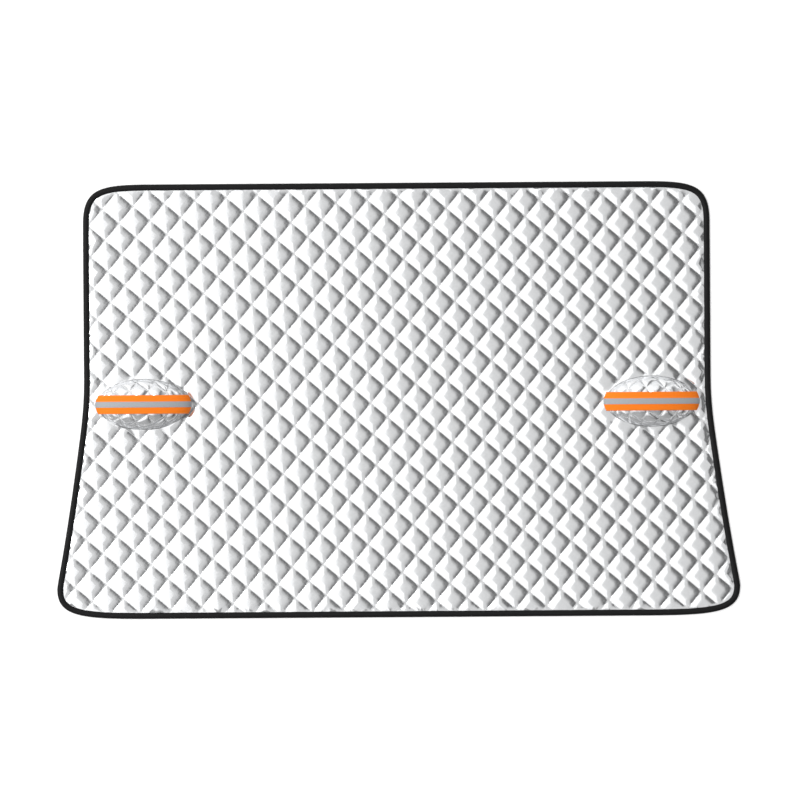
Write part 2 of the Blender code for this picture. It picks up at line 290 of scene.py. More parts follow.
def new_piece(name, points, faces, finishes, smooth=True):
    """A mesh object with its place in its mesh. Faces are rows of corner numbers of one length."""
    mesh = bpy.data.meshes.new(name)
    sides = faces.shape[1]
    mesh.vertices.add(len(points))
    mesh.vertices.foreach_set("co", np.ascontiguousarray(points, dtype=np.float32).ravel())
    mesh.loops.add(faces.size)
    mesh.loops.foreach_set("vertex_index", faces.astype(np.int32).ravel())
    mesh.polygons.add(len(faces))
    mesh.polygons.foreach_set("loop_start", np.arange(len(faces), dtype=np.int32) * sides)
    mesh.polygons.foreach_set("use_smooth", np.full(len(faces), smooth))
    mesh.update(calc_edges=True)
    mesh.validate()
    for finish in finishes:
        mesh.materials.append(finish)
    obj = bpy.data.objects.new(name, mesh)
    bpy.context.scene.collection.objects.link(obj)
    return obj


def set_uv(obj, name, values):
    """A UV map with one value for each point of the mesh."""
    mesh = obj.data
    corner = np.empty(len(mesh.loops), dtype=np.int32)
    mesh.loops.foreach_get("vertex_index", corner)
    layer = mesh.uv_layers.new(name=name)
    layer.uv.foreach_set("vector", values[corner].astype(np.float32).ravel())


def srgb(code):
    """A hex colour such as E0E2E4 as linear red, green and blue with alpha 1."""
    value = np.array([int(code[i : i + 2], 16) for i in (0, 2, 4)]) / 255
    linear = np.where(value <= 0.04045, value / 12.92, ((value + 0.055) / 1.055) ** 2.4)
    return (*linear.tolist(), 1.0)


def add(tree, kind, inputs=None, **settings):
    """Adds a node, sets its properties, and links or sets each of its inputs, by name or number."""
    made = tree.nodes.new(kind)
    for name, value in settings.items():
        setattr(made, name, value)
    for socket, value in (inputs or {}).items():
        if isinstance(value, bpy.types.NodeSocket):
            tree.links.new(value, made.inputs[socket])
        else:
            made.inputs[socket].default_value = value
    return made


def new_finish(name):
    """An empty material with its output: the material and its node tree."""
    made = bpy.data.materials.new(name)
    made.use_nodes = True
    made.node_tree.nodes.clear()
    return made, made.node_tree


FILM_SILVER = "EAEBEC"
FILM_GREY = "E0E1E3"
THREAD_WHITE = "DADAD8"
FILM_METALLIC = 0.88
FILM_ROUGHNESS = 0.15
ROUGHNESS_SPREAD = (-0.02, 0.03)
STITCH_LENGTH = 0.0034
STITCH_RISE = (-0.7, -0.2)
THREAD_WIDTH = 0.0009
PUCKER_REACH = 0.011
PUCKER_LENGTH = 0.016
PUCKER_WIDTH = 0.0055
PUCKER_HEIGHT = 0.0003
CRINKLE_SIZE = 0.007
CRINKLE_HEIGHT = 0.00006
CRINKLE_RANGE = (0.3, 0.7)


def seam_stitches(tree, along, distance):
    """A row of stitches, 1 on the thread and 0 beside it, from metres along the seam and away from it.

    A sine wave along the seam has one turn for each stitch, and the thread rises where the wave does.
    Across the seam the thread is full to a quarter of its width from the middle, and fades out at half.
    """
    turn = add(
        tree, "ShaderNodeMath", {0: along, 1: 2 * math.pi / STITCH_LENGTH}, operation="MULTIPLY"
    ).outputs[0]
    wave = add(tree, "ShaderNodeMath", {0: turn}, operation="SINE").outputs[0]
    dash = add(tree, "ShaderNodeMapRange", {0: wave, 1: STITCH_RISE[0], 2: STITCH_RISE[1]}).outputs[0]
    strand = add(
        tree, "ShaderNodeMapRange", {0: distance, 1: THREAD_WIDTH / 2, 2: THREAD_WIDTH / 4}
    ).outputs[0]
    return add(tree, "ShaderNodeMath", {0: dash, 1: strand}, operation="MULTIPLY").outputs[0]


def relief(tree, patterns):
    """The normal of a surface that is raised by the sum of patterns, each times its height in metres."""
    height = 0.0
    for pattern, size in patterns:
        height = add(
            tree, "ShaderNodeMath", {0: pattern, 1: size, 2: height}, operation="MULTIPLY_ADD"
        ).outputs[0]
    return add(tree, "ShaderNodeBump", {"Height": height, "Distance": 1.0, "Strength": 1.0}).outputs[0]


def silver_film(name, pitch, roughness):
    """Aluminised polyester film, laminated to wadding and stitched: mostly a mirror, a little blurred.

    The map "quilt" counts cells of the quilting. The thread of a seam shows as short raised dashes in its
    groove. Puckers are noise drawn out square to the seam, and they fade with the distance from it. A
    fine crinkle all over is noise that moves the height, the tone and the roughness a little.
    """
    made, tree = new_finish(name)
    quilt = add(tree, "ShaderNodeUVMap", uv_map="quilt").outputs[0]
    place = add(
        tree, "ShaderNodeVectorMath", {0: quilt, 1: (pitch, pitch, 0)}, operation="MULTIPLY"
    ).outputs[0]
    parts = add(tree, "ShaderNodeSeparateXYZ", {0: place}).outputs
    puckers = []
    threads = []
    for across, along in ((0, 1), (1, 0)):
        distance = add(
            tree, "ShaderNodeMath", {0: parts[across], 1: pitch / 2}, operation="PINGPONG"
        ).outputs[0]
        near = add(
            tree, "ShaderNodeMapRange", {0: distance, 1: 0.0, 2: PUCKER_REACH, 3: 1.0, 4: 0.0}
        ).outputs[0]
        stretch = [0.0, 0.0, 0.0]
        stretch[across] = 1 / PUCKER_LENGTH
        stretch[along] = 1 / PUCKER_WIDTH
        drawn = add(tree, "ShaderNodeVectorMath", {0: place, 1: stretch}, operation="MULTIPLY").outputs[0]
        noise = add(tree, "ShaderNodeTexNoise", {"Vector": drawn, "Scale": 1.0, "Detail": 2.0}).outputs[0]
        puckers.append(add(tree, "ShaderNodeMath", {0: noise, 1: near}, operation="MULTIPLY").outputs[0])
        threads.append(seam_stitches(tree, parts[along], distance))
    pucker = add(tree, "ShaderNodeMath", {0: puckers[0], 1: puckers[1]}, operation="ADD").outputs[0]
    thread = add(tree, "ShaderNodeMath", {0: threads[0], 1: threads[1]}, operation="MAXIMUM").outputs[0]
    crinkle = add(
        tree, "ShaderNodeTexNoise", {"Vector": place, "Scale": 1 / CRINKLE_SIZE, "Detail": 3.0}
    ).outputs[0]
    bump = relief(
        tree, ((pucker, PUCKER_HEIGHT), (thread, THREAD_WIDTH / 2), (crinkle, CRINKLE_HEIGHT))
    )
    tone = add(
        tree, "ShaderNodeMix", {0: crinkle, 6: srgb(FILM_GREY), 7: srgb(FILM_SILVER)}, data_type="RGBA"
    ).outputs[2]
    tone = add(
        tree, "ShaderNodeMix", {0: thread, 6: tone, 7: srgb(THREAD_WHITE)}, data_type="RGBA"
    ).outputs[2]
    metal = add(
        tree, "ShaderNodeMapRange", {0: thread, 1: 0.0, 2: 1.0, 3: FILM_METALLIC, 4: 0.0}
    ).outputs[0]
    low, high = CRINKLE_RANGE
    smoothest, roughest = (roughness + change for change in ROUGHNESS_SPREAD)
    shine = add(
        tree, "ShaderNodeMapRange", {0: crinkle, 1: low, 2: high, 3: smoothest, 4: roughest}
    ).outputs[0]
    shader = add(
        tree,
        "ShaderNodeBsdfPrincipled",
        {"Base Color": tone, "Metallic": metal, "Roughness": shine, "Normal": bump},
    )
    add(tree, "ShaderNodeOutputMaterial", {0: shader.outputs[0]})
    return made


def quilted_top():
    """The film side of the sheet over its wadding, closed underneath just above the lining.

    Its top is the pillows' height. Near the binding it drops to the rim that the binding holds, and near a
    mouth it eases to the pocket's seam. Its underside rises over the binding's lower edge and the mouth's
    tape.
    """
    flat, faces, distance = with_rim(*trimmed(quilt_grid(CELL_STEPS), RIM_BEND))
    cells = quilt_cells(flat)
    pillows = GROOVE_HEIGHT + (PILLOW_HEIGHT - GROOVE_HEIGHT) * pillow_share(cells, PILLOW_SLOPE)
    free = smooth_step((distance - RIM_BEND) / EDGE_RUN)
    top = RIM_TOP + (pillows - RIM_TOP) * free
    at_mouth = 1 - smooth_step(past_mouths(flat) / MOUTH_RUN)
    top += (POCKET_SEAM - top) * at_mouth
    bottom = underside(flat, distance) + LINING_THICKNESS + SEAM_CLEARANCE
    points, faces = closed_sheet(flat, faces, top, bottom)
    film = silver_film("aluminised film", QUILT_PITCH, FILM_ROUGHNESS)
    sheet = new_piece("quilted_top", points, faces, [film])
    set_uv(sheet, "quilt", np.concatenate([cells, cells]))
    sheet.data.set_sharp_from_angle(angle=SHARP_FOLD)
    return sheet


def underside(places, distance):
    """Height of the lining's lower face: flat, and raised where the black tapes lie under it."""
    under_binding = 1 - smooth_step((distance - BINDING_WIDTH - MOUTH_CLEARANCE) / TAPER_RUN)
    tape_reach = MOUTH_TAPE_WIDTH - POCKET_WALL + MOUTH_CLEARANCE
    over_tape = 1 - smooth_step((past_mouths(places) - tape_reach) / TAPER_RUN)
    return LINING_LIFT * np.maximum(under_binding, over_tape)


top_sheet = quilted_top()
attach(top_sheet, "root")
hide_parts("quilted_panel")


# The lining. A grey non-woven sheet under the wadding, caught by the same stitching, so that it lies flat
# under each pillow and is drawn up a little along the seams. It ends inside the binding and over the tape
# round each mouth. The photograph hides it, so it is finished plainly.
LINING_STEPS = np.array([0.0, 0.10, 0.30, 0.70, 0.90])
LINING_DRAW = 0.0009
LINING_SLOPE = 0.20
LINING_GREY = "9A9C9F"
LINING_DARK = "85878A"
BOND_SPACING = 0.0022
BOND_EDGE = (0.34, 0.22)
BOND_DEPTH = 0.6
FIBRES_PER_METRE = 900.0
CLOUDS_PER_METRE = 60.0
FELT_HEIGHT = 0.0003


def lining_cloth():
    """Spunbonded polypropylene: matt grey felted fibres, welded in small dots set in a diamond pattern.

    The height is a fine noise for the fibres, less a pit at each dot, and a coarse noise gives the tone.
    """
    made, tree = new_finish("spunbonded lining")
    place = add(tree, "ShaderNodeTexCoord").outputs["Object"]
    turned = add(
        tree,
        "ShaderNodeMapping",
        {"Vector": place, "Rotation": (0, 0, math.pi / 4), "Scale": (1 / BOND_SPACING,) * 3},
    ).outputs[0]
    dots = add(
        tree,
        "ShaderNodeTexVoronoi",
        {"Vector": turned, "Scale": 1.0, "Randomness": 0.0},
        voronoi_dimensions="2D",
    ).outputs["Distance"]
    weld = add(tree, "ShaderNodeMapRange", {0: dots, 1: BOND_EDGE[0], 2: BOND_EDGE[1]}).outputs[0]
    fibres = add(
        tree, "ShaderNodeTexNoise", {"Vector": place, "Scale": FIBRES_PER_METRE, "Detail": 4.0}
    ).outputs[0]
    cloud = add(
        tree, "ShaderNodeTexNoise", {"Vector": place, "Scale": CLOUDS_PER_METRE, "Detail": 3.0}
    ).outputs[0]
    tone = add(
        tree, "ShaderNodeMix", {0: cloud, 6: srgb(LINING_DARK), 7: srgb(LINING_GREY)}, data_type="RGBA"
    ).outputs[2]
    height = add(
        tree, "ShaderNodeMath", {0: weld, 1: -BOND_DEPTH, 2: fibres}, operation="MULTIPLY_ADD"
    ).outputs[0]
    bump = add(
        tree, "ShaderNodeBump", {"Height": height, "Distance": FELT_HEIGHT, "Strength": 0.8}
    ).outputs[0]
    shader = add(
        tree,
        "ShaderNodeBsdfPrincipled",
        {"Base Color": tone, "Roughness": 0.92, "Sheen Weight": 0.15, "Sheen Roughness": 0.6, "Normal": bump},
    )
    add(tree, "ShaderNodeOutputMaterial", {0: shader.outputs[0]})
    return made


def lining():
    """A thin closed sheet that follows the underside's height, drawn up along the seams.

    The draw is the square of one less the distance from the nearest seam over the slope, both in cells.
    """
    flat, faces, distance, _ = trimmed(quilt_grid(LINING_STEPS), RIM_INSET)
    cells = quilt_cells(flat)
    apart = np.abs(cells - np.round(cells)).min(axis=1)
    drawn = np.clip(1 - apart / LINING_SLOPE, 0, 1) ** 2
    free = smooth_step((distance - BINDING_WIDTH) / TAPER_RUN)
    free = np.minimum(free, smooth_step((past_mouths(flat) - MOUTH_TAPE_WIDTH) / TAPER_RUN))
    low = underside(flat, distance) + LINING_DRAW * drawn * free
    high = underside(flat, distance) + LINING_THICKNESS
    points, faces = closed_sheet(flat, faces, np.maximum(high, low + LINING_THICKNESS / 2), low)
    sheet = new_piece("lining", points, faces, [lining_cloth()])
    area = area_inside(OUTLINE) - sum(math.pi * half.prod() for _, half in MOUTHS.values())
    return sheet


def area_inside(loop):
    """Area inside a loop: half the sum of the cross products of neighbouring points."""
    after = np.roll(loop, -1, axis=0)
    return 0.5 * abs((loop[:, 0] * after[:, 1] - loop[:, 1] * after[:, 0]).sum())


under_sheet = lining()
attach(under_sheet, "root")
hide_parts("quilted_panel")


# The mirror pockets. Each is a patch of the same film, wadding and lining with a closer quilting, blown up
# over a half ellipsoid. Its seam lines bow towards the outer end, because the patch was cut flat and eased
# into the oval mouth. The left pocket is the right one's mirror image.
POCKET_BACK = 0.0015
PATCH_HALF = np.array([0.1380, 0.0670])
PATCH_PITCH = 0.0324
PATCH_CROSSING = np.array([-0.0175, 0.0271])
PATCH_BOW = 4.8
PATCH_NARROWING = 3.1
PATCH_STEPS = np.array([0.0, 0.05, 0.13, 0.25, 0.40, 0.60, 0.75, 0.87, 0.95])
PATCH_PILLOW = 0.0048
PATCH_GROOVE = 0.0010
PATCH_SLOPE = 0.26
PATCH_FADE = 0.0200
PATCH_TURN = math.radians(70.0)
PATCH_REACH = 1.5
CAD_PILLOW = 0.0050
BAND_LIFT = 0.0012
BAND_THICKNESS = 0.0008
POCKET_ROUGHNESS = 0.18


def pocket_halves(side):
    """Half length, half width and height above its seam of a pocket's form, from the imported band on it."""
    band_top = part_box(side + "_orange_band")[1].z
    rise = band_top - BAND_THICKNESS - BAND_LIFT - CAD_PILLOW - POCKET_SEAM
    return np.array([*MOUTHS[side][1], rise])


def mirror_pocket(side, sign, film, inner):
    """A quilted patch stretched over half an ellipsoid and run straight down through the sheet.

    A place of the flat patch moves along the pocket by the bow times the square of its place across, and
    is drawn in across it by the narrowing times its place along. Counted in half sizes of the patch, its
    distance from the middle is then the share of the full turn from the top of an ellipsoid's cap, and
    past 1 it goes straight down. The pillows stand out square to the surface, and fade near the seam.
    """
    half = pocket_halves(side)
    count = math.ceil(PATCH_REACH * PATCH_HALF[0] / PATCH_PITCH)
    line = (np.arange(-count, count)[:, None] + PATCH_STEPS).ravel()
    cells = np.stack(np.meshgrid(line, line, indexing="ij"), axis=-1)
    patch = cells * PATCH_PITCH @ QUILT_TURN + PATCH_CROSSING
    along = patch[..., 0] + PATCH_BOW * patch[..., 1] ** 2
    across = patch[..., 1] * (1 - PATCH_NARROWING * patch[..., 0])
    shares = np.stack([along, across], axis=-1) / PATCH_HALF
    reach = np.maximum(np.linalg.norm(shares, axis=-1), 1e-9)
    angle = np.minimum(reach, 1) * PATCH_TURN
    level = half[:2] * (np.sin(angle) / math.sin(PATCH_TURN))[..., None] * shares / reach[..., None]
    below = np.maximum(reach - 1, 0) * PATCH_HALF[1]
    base = math.cos(PATCH_TURN)
    rise = half[2] * (np.cos(angle) - base) / (1 - base)
    puff = PATCH_GROOVE + (PATCH_PILLOW - PATCH_GROOVE) * pillow_share(cells, PATCH_SLOPE)
    puff *= smooth_step(rise / PATCH_FADE)
    outward = np.concatenate([level, rise[..., None]], axis=-1) / half**2
    outward /= np.linalg.norm(outward, axis=-1, keepdims=True)
    points = np.concatenate([level, (POCKET_SEAM + rise - below)[..., None]], axis=-1)
    points += puff[..., None] * outward
    points = points.reshape(-1, 3)
    faces = grid_faces(reach.shape)
    above = (points[faces, 2] > POCKET_BACK).any(axis=1)
    faces = faces[above & (reach.ravel()[faces] < PATCH_REACH).all(axis=1)]
    points[:, 2] = np.maximum(points[:, 2], POCKET_BACK)
    points[:, 0] *= sign
    points[:, :2] += MOUTHS[side][0]
    if sign < 0:
        faces = faces[:, ::-1]
    kept, renumbered = np.unique(faces, return_inverse=True)
    pocket = new_piece(side + "_mirror_pocket", points[kept], renumbered.reshape(-1, 4), [film, inner])
    set_uv(pocket, "quilt", cells.reshape(-1, 2)[kept])
    pocket.data.set_sharp_from_angle(angle=SHARP_FOLD)
    wall = pocket.modifiers.new("wall", "SOLIDIFY")
    wall.thickness = POCKET_WALL
    wall.offset = -1
    wall.material_offset = 1
    wall.material_offset_rim = 1
    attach(pocket, "root")
    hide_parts(side + "_mirror_cap")
    return pocket


pocket_film = silver_film("aluminised film on the pockets", PATCH_PITCH, POCKET_ROUGHNESS)
for side, sign in SIDES.items():
    mirror_pocket(side, sign, pocket_film, under_sheet.data.materials[0])


# The orange bands. A flat woven polyester tape in fluorescent orange is sewn over each pocket from end to
# end, with a row of stitches inside each edge. It lies on the tops of the pillows.
BAND_WIDTH = 0.0497
BAND_STEPS = 120
BAND_ROWS = 24
BAND_THREADS = 0.0011
FLUORESCENT_ORANGE = "FF8C28"
# The second orange is painted shade, laid in the hollows of the weave.
ORANGE_PAINTED_SHADE = "FF7614"
ORANGE_THREAD = "FFA04A"
BAND_ROUGHNESS = 0.8
TAPE_SPECULAR = 0.2
SEAM_IN = 0.0022
# How far the weave darkens the tone in its hollows, as painted shade.
WEAVE_PAINTED_SHADE = 0.35
WEAVE_RISE = 0.1
FUZZ_PER_METRE = 400.0


def woven_tape(name, colours, spacing, width, roughness, thread):
    """Plain woven polyester tape with little gloss, and a row of stitches near each edge.

    The map "tape" holds metres along and across the tape. Warp and weft threads rise and fall in turn:
    the weave's height is the product of a sine wave along the tape and one across it. The tone runs from
    the first colour on the raised threads to the second, a darker painted shade, in the hollows between
    them, and a fine noise varies it at random. The stitches lie at a set distance from the edges.
    """
    made, tree = new_finish(name)
    place = add(tree, "ShaderNodeUVMap", uv_map="tape").outputs[0]
    parts = add(tree, "ShaderNodeSeparateXYZ", {0: place}).outputs
    waves = []
    for axis in (0, 1):
        turn = add(
            tree, "ShaderNodeMath", {0: parts[axis], 1: math.pi / spacing}, operation="MULTIPLY"
        ).outputs[0]
        waves.append(add(tree, "ShaderNodeMath", {0: turn}, operation="SINE").outputs[0])
    weave = add(tree, "ShaderNodeMath", {0: waves[0], 1: waves[1]}, operation="MULTIPLY").outputs[0]
    fuzz = add(
        tree, "ShaderNodeTexNoise", {"Vector": place, "Scale": FUZZ_PER_METRE, "Detail": 3.0}
    ).outputs[0]
    # Painted shade: the tone darkens where the weave dips between threads, and the fuzz varies it at random.
    shade_and_fuzz = add(
        tree, "ShaderNodeMath", {0: weave, 1: WEAVE_PAINTED_SHADE, 2: fuzz}, operation="MULTIPLY_ADD"
    ).outputs[0]
    tone = add(
        tree, "ShaderNodeMix", {0: shade_and_fuzz, 6: srgb(colours[1]), 7: srgb(colours[0])}, data_type="RGBA"
    ).outputs[2]
    edge = add(tree, "ShaderNodeMath", {0: parts[1]}, operation="ABSOLUTE").outputs[0]
    gap = add(tree, "ShaderNodeMath", {0: edge, 1: width / 2 - SEAM_IN}, operation="SUBTRACT").outputs[0]
    gap = add(tree, "ShaderNodeMath", {0: gap}, operation="ABSOLUTE").outputs[0]
    stitch = seam_stitches(tree, parts[0], gap)
    tone = add(tree, "ShaderNodeMix", {0: stitch, 6: tone, 7: srgb(thread)}, data_type="RGBA").outputs[2]
    bump = relief(tree, ((weave, WEAVE_RISE * spacing), (stitch, THREAD_WIDTH / 2)))
    shader = add(
        tree,
        "ShaderNodeBsdfPrincipled",
        {"Base Color": tone, "Roughness": roughness, "Specular IOR Level": TAPE_SPECULAR, "Normal": bump},
    )
    add(tree, "ShaderNodeOutputMaterial", {0: shader.outputs[0]})
    return made


def tape_over_pocket(name, side, width, lift, thickness, finish):
    """A strip of tape from end to end over the pocket.

    Each line along the tape follows the ellipse in which it cuts the pocket's form, grown by the lift,
    from the seam at one end to the seam at the other.
    """
    half = pocket_halves(side) + lift
    y = np.linspace(-width / 2, width / 2, BAND_ROWS + 1)
    share = np.sqrt(1 - (y / half[1]) ** 2)
    end = np.arccos(2 * MOUTH_CLEARANCE / (half[2] * share))
    turn = np.linspace(-1, 1, BAND_STEPS + 1)[:, None] * end
    x = half[0] * share * np.sin(turn)
    z = half[2] * share * np.cos(turn)
    y = np.broadcast_to(y, x.shape)
    points = np.stack([x + MOUTHS[side][0][0], y + MOUTHS[side][0][1], z + POCKET_SEAM], axis=-1)
    strip = new_piece(name, points.reshape(-1, 3), grid_faces(x.shape), [finish])
    step = np.hypot(np.diff(x[:, BAND_ROWS // 2]), np.diff(z[:, BAND_ROWS // 2]))
    run = np.concatenate([[0], np.cumsum(step)])[:, None]
    set_uv(strip, "tape", np.stack([np.broadcast_to(run, x.shape), y], axis=-1).reshape(-1, 2))
    body = strip.modifiers.new("tape", "SOLIDIFY")
    body.thickness = thickness
    body.offset = 1
    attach(strip, "root")
    return strip


orange = woven_tape(
    "fluorescent woven polyester",
    (FLUORESCENT_ORANGE, ORANGE_PAINTED_SHADE),
    spacing=BAND_THREADS,
    width=BAND_WIDTH,
    roughness=BAND_ROUGHNESS,
    thread=ORANGE_THREAD,
)
for side in SIDES:
    band = tape_over_pocket(
        side + "_woven_band", side, BAND_WIDTH, CAD_PILLOW + BAND_LIFT, BAND_THICKNESS, orange
    )
    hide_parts(side + "_orange_band")


# The reflective stripes. A narrow tape of grey cloth covered with glass beads is sewn along the middle of
# each band. The beads throw light back, so it looks a flat pale grey from most sides.
STRIPE_WIDTH = 0.0155
STRIPE_THICKNESS = 0.0004
BEAD_GREY = "ABAEB1"
# The second grey is painted shade, laid round the edge of each bead.
BEAD_PAINTED_SHADE = "989B9F"
BEAD_SIZE = 0.0009
BEAD_HEIGHT = 0.0002
BEAD_ROUGHNESS = 0.7


def bead_tape():
    """Glass bead tape: grey and rough. Each bead is a cell of a pattern, highest in its middle, pale there
    and darker towards its edge as painted shade between the beads.

    Real beads are too fine to show, so these are drawn 0.9 mm wide.
    """
    made, tree = new_finish("glass bead tape")
    place = add(tree, "ShaderNodeUVMap", uv_map="tape").outputs[0]
    beads = add(tree, "ShaderNodeTexVoronoi", {"Vector": place, "Scale": 1 / BEAD_SIZE}).outputs
    # Painted shade: each bead is pale in its middle and darker towards its edge.
    tone = add(
        tree,
        "ShaderNodeMix",
        {0: beads["Distance"], 6: srgb(BEAD_GREY), 7: srgb(BEAD_PAINTED_SHADE)},
        data_type="RGBA",
    ).outputs[2]
    bump = add(
        tree,
        "ShaderNodeBump",
        {"Height": beads["Distance"], "Distance": BEAD_HEIGHT, "Strength": 0.6},
        invert=True,
    ).outputs[0]
    shader = add(
        tree, "ShaderNodeBsdfPrincipled", {"Base Color": tone, "Roughness": BEAD_ROUGHNESS, "Normal": bump}
    )
    add(tree, "ShaderNodeOutputMaterial", {0: shader.outputs[0]})
    return made


beaded = bead_tape()
for side in SIDES:
    lift = CAD_PILLOW + BAND_LIFT + BAND_THICKNESS + MOUTH_CLEARANCE
    stripe = tape_over_pocket(side + "_bead_stripe", side, STRIPE_WIDTH, lift, STRIPE_THICKNESS, beaded)
    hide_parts(side + "_reflective_stripe")


# The tapes round the mouths. On the underside a flat ring of black woven tape covers the seam in which
# each pocket is sewn to the sheet. The photograph hides it.
TAPE_BLACK = "08080A"
# The second black is painted shade, laid in the hollows of the weave.
TAPE_PAINTED_SHADE = "030304"
BLACK_THREAD = "1B1B1E"
TAPE_ROUGHNESS = 0.5
TAPE_THREADS = 0.0009
MOUTH_TAPE_THICKNESS = 0.0012
TAPE_ROUND = 0.0005
ROUND_STEPS = 3
MOUTH_STEPS = 180
TAPE_NOSE = 0.0178
TAPE_EDGE = math.radians(50)


def swept(name, path, sides, section, finish):
    """A closed section carried along a closed path.

    Each point of the section is a distance from the path along the path's side vectors, and a height.
    The map "tape" holds metres along the path and round the section, counted there from the binding's
    nose. The faces are turned so that the volume inside them is positive.
    """
    level = path[:, None, :] + section[None, :, :1] * sides[:, None, :]
    height = np.broadcast_to(section[None, :, 1:], (*level.shape[:2], 1))
    points = np.concatenate([level, height], axis=2).reshape(-1, 3)
    number = np.arange(len(points)).reshape(level.shape[:2])
    next_row = np.roll(number, -1, axis=0)
    corners = [number, np.roll(number, -1, axis=1), np.roll(next_row, -1, axis=1), next_row]
    faces = np.stack(corners, axis=-1).reshape(-1, 4)
    along = np.linalg.norm(np.roll(path, -1, axis=0) - path, axis=1)
    along = np.concatenate([[0], np.cumsum(along)])
    around = np.linalg.norm(np.roll(section, -1, axis=0) - section, axis=1)
    around = np.concatenate([[0], np.cumsum(around)]) - TAPE_NOSE
    here = np.stack(np.meshgrid(along[:-1], around[:-1], indexing="ij"), axis=-1)
    there = np.stack(np.meshgrid(along[1:], around[1:], indexing="ij"), axis=-1)
    crossed = np.stack([here[..., 0], there[..., 1]], axis=-1)
    back = np.stack([there[..., 0], here[..., 1]], axis=-1)
    corner_map = np.stack([here, crossed, there, back], axis=2).reshape(-1, 4, 2)
    a, b, c, d = (points[faces[:, i]] for i in range(4))
    if (np.cross(a, b) * c + np.cross(a, c) * d).sum() < 0:
        faces = faces[:, ::-1]
        corner_map = corner_map[:, ::-1]
    ring = new_piece(name, points, faces, [finish])
    layer = ring.data.uv_layers.new(name="tape")
    layer.uv.foreach_set("vector", np.ascontiguousarray(corner_map, dtype=np.float32).ravel())
    ring.data.set_sharp_from_angle(angle=TAPE_EDGE)
    return ring


def arc(middle, radii, start, end, steps):
    """Points of an elliptic arc between two angles in degrees."""
    turn = np.radians(np.linspace(start, end, steps + 1))
    return np.array(middle) + np.array(radii) * np.stack([np.cos(turn), np.sin(turn)], axis=1)


def mouth_ring(side, finish):
    """A flat tape with rounded edges, carried round the oval of a pocket's mouth."""
    middle, half = MOUTHS[side]
    turn = np.linspace(0, 2 * math.pi, MOUTH_STEPS, endpoint=False)
    out = np.stack([np.cos(turn), np.sin(turn)], axis=1)
    inner = -POCKET_WALL
    outer = MOUTH_TAPE_WIDTH - POCKET_WALL
    r = TAPE_ROUND
    section = np.concatenate(
        [
            arc((inner + r, r), (r, r), 270, 180, ROUND_STEPS),
            [(inner, MOUTH_TAPE_THICKNESS), (outer, MOUTH_TAPE_THICKNESS)],
            arc((outer - r, r), (r, r), 0, -90, ROUND_STEPS),
        ]
    )
    return swept(side + "_mouth_ring", middle + half * out, out, section, finish)


black_woven = woven_tape(
    "black woven polyester",
    (TAPE_BLACK, TAPE_PAINTED_SHADE),
    spacing=TAPE_THREADS,
    width=MOUTH_TAPE_WIDTH,
    roughness=TAPE_ROUGHNESS,
    thread=BLACK_THREAD,
)
for side in SIDES:
    ring = mouth_ring(side, black_woven)
    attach(ring, "root")
    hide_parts(side + "_mouth_tape")


# The binding. One black woven tape is folded over the sheet's pressed rim and sewn through both sides all
# the way round. Its crown stands up as a rounded bead, nearer the outer edge.
BINDING_HEIGHT = 0.0075
BINDING_CROWN = 0.0080
BINDING_INNER_EDGE = 0.0049
BINDING_TAPE = 0.0012
BINDING_FOLD = 0.0030
SLOT_TOP = 0.0045
NOSE_STEPS = 4
CROWN_STEPS = 10


def binding_section():
    """The folded tape's section, as distance in from the outline and height.

    From the inner edge below: the nose is a quarter circle, the crown a quarter ellipse, and the fall to
    the upper inner edge a parabola. The slot for the rim follows.
    """
    nose = arc((NOSE_HEIGHT, NOSE_HEIGHT), (NOSE_HEIGHT, NOSE_HEIGHT), 270, 180, NOSE_STEPS)
    crown = arc(
        (BINDING_CROWN, NOSE_HEIGHT), (BINDING_CROWN, BINDING_HEIGHT - NOSE_HEIGHT), 180, 90, CROWN_STEPS
    )
    share = np.linspace(0, 1, CROWN_STEPS // 2 + 1)[1:]
    fall = np.stack(
        [
            BINDING_CROWN + (BINDING_WIDTH - BINDING_CROWN) * share,
            BINDING_HEIGHT - (BINDING_HEIGHT - BINDING_INNER_EDGE) * share**2,
        ],
        axis=1,
    )
    slot = [
        (BINDING_WIDTH, SLOT_TOP),
        (BINDING_FOLD, SLOT_TOP),
        (BINDING_FOLD, BINDING_TAPE),
        (BINDING_WIDTH, BINDING_TAPE),
    ]
    return np.concatenate([[(BINDING_WIDTH, 0.0)], nose, crown[1:], fall, slot])


binding_tape = woven_tape(
    "black woven binding tape",
    (TAPE_BLACK, TAPE_PAINTED_SHADE),
    spacing=TAPE_THREADS,
    width=2 * TAPE_NOSE,
    roughness=TAPE_ROUGHNESS,
    thread=BLACK_THREAD,
)
binding = swept("folded_binding", OUTLINE, inward_normals(OUTLINE), binding_section(), binding_tape)
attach(binding, "root")
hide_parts("edge_binding")


# The floor. A wide pale sheet under the cover. It is lit like the cover, and to the camera it adds the
# little that it lacks to white, so that the shadow stays.
FLOOR_HALF = 40.0
FLOOR_DROP = 0.0002
FLOOR_PALE = "EDEDED"
FLOOR_ADDED = 0.32


